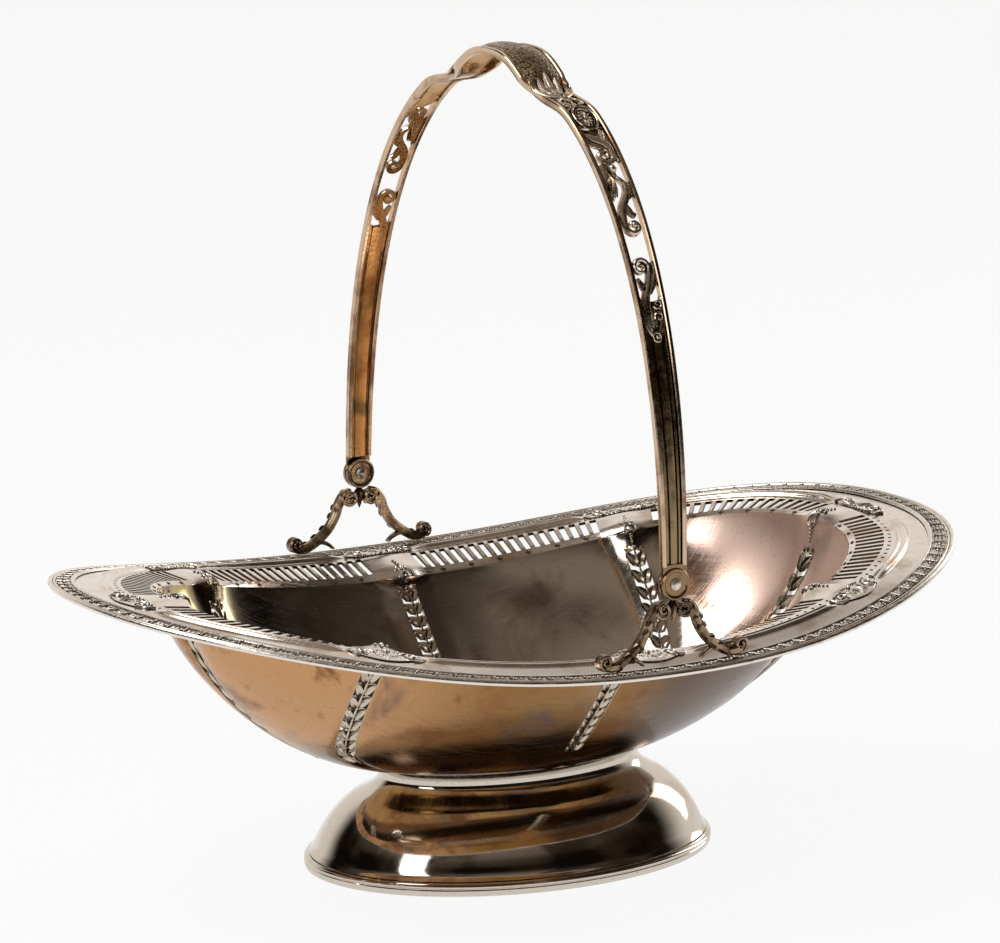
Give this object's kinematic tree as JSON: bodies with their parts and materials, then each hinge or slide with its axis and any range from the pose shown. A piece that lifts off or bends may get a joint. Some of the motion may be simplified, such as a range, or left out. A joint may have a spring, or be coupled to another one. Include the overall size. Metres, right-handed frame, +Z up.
{
  "type": "brides basket",
  "caption": "Oval footed table basket with a pierced flange, ribbed bowl, leaf border and a swing bail handle carried by scroll brackets.",
  "frame": {"origin": "centre of the foot's underside, on the surface that the basket stands on", "axes": "+Z up, +X along the long axis of the oval, +Y across it, along the span of the handle"},
  "size_m": [0.32, 0.2148, 0.2745],
  "materials": {
    "bowl_silver_plate": "silver plate over base metal, polished and fine scratched, with warm brown and golden tarnish",
    "ornament_silver": "stamped leaf ornament, bright on the high points and dark in the recesses",
    "foot_silver_plate": "silver plate, mirror polished, lightly tarnished",
    "handle_silver_plate": "cast and chased silver plate with bronze brown tarnish in its channels and bright rails",
    "bracket_silver": "cast silver plate, oxidised dark with rubbed bright edges"
  },
  "bodies": {
    "basket": {"bowl": "bowl_silver_plate", "rim_border": "ornament_silver", "crest_1": "ornament_silver", "crest_2": "ornament_silver", "crest_3": "ornament_silver", "crest_4": "ornament_silver", "crest_5": "ornament_silver", "crest_6": "ornament_silver", "crest_7": "ornament_silver", "crest_8": "ornament_silver", "foot": "foot_silver_plate", "foot_base_ring": "foot_silver_plate", "bracket_front": "bracket_silver", "bracket_back": "bracket_silver", "rivet_front": "bracket_silver", "rivet_back": "bracket_silver"},
    "bail": {"bail_handle": "handle_silver_plate"}
  },
  "joints": [
    {"name": "bail_swing", "type": "hinge", "parent": "basket", "child": "bail", "pos_m": [0, 0, 0.112], "axis": [0, 1, 0], "range_deg": [-88, 88]}
  ]
}
